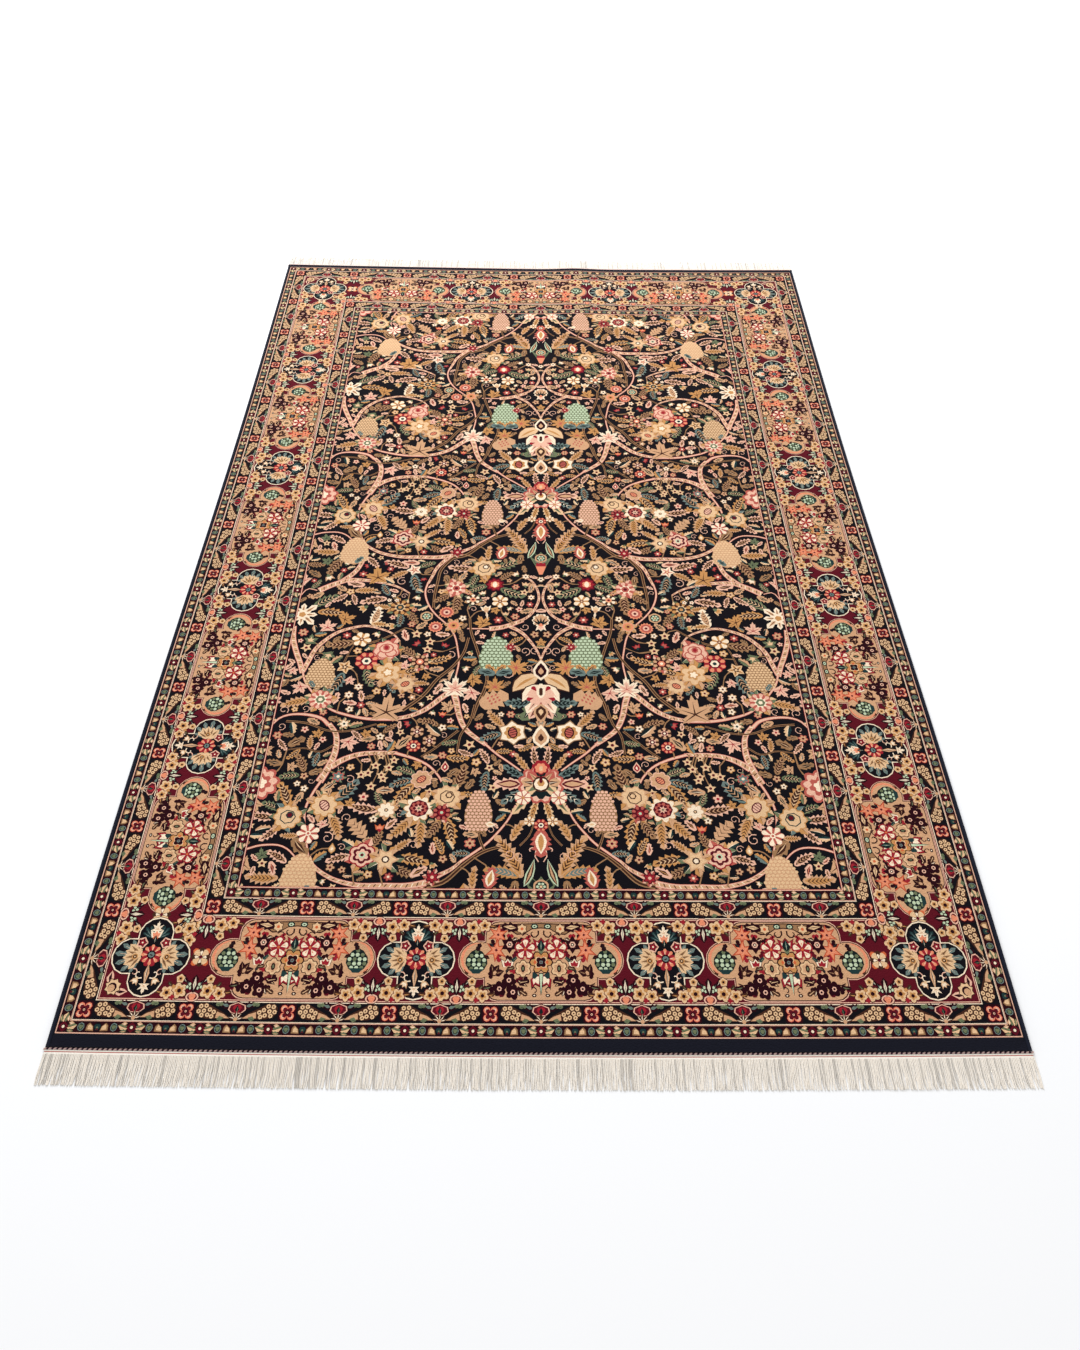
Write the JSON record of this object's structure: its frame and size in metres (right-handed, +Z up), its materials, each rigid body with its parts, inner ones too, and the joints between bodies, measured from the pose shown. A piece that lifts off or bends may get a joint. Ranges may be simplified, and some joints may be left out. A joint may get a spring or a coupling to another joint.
{
  "type": "hand-knotted floral pile rug",
  "caption": "Flat rectangular wool pile rug with a traditional floral field and borders, overcast side cords, twined end rows and cotton fringe at both ends; lies on a floor.",
  "frame": {"origin": "centre of the rug's footprint, on the floor", "axes": "+X across the rug, +Y along its length away from the near end, +Z up from the floor"},
  "size_m": [1.8306, 2.9152, 0.0097],
  "materials": {
    "pile_wool": "short cut wool pile, matt with a faint sheen, floral design in navy, burgundy, tan, pink, gold and green",
    "cord_wool": "navy wool overcasting, matt",
    "twined_yarn": "pinkish white and navy twined yarn, matt",
    "fringe_cotton": "off-white cotton, flat-woven web and loose warp ends"
  },
  "bodies": {
    "root": {"pile": "pile_wool", "side_cord_left": "cord_wool", "side_cord_right": "cord_wool", "twined_row_near": "twined_yarn", "twined_row_far": "twined_yarn", "fringe_near": "fringe_cotton", "fringe_far": "fringe_cotton"}
  },
  "joints": []
}
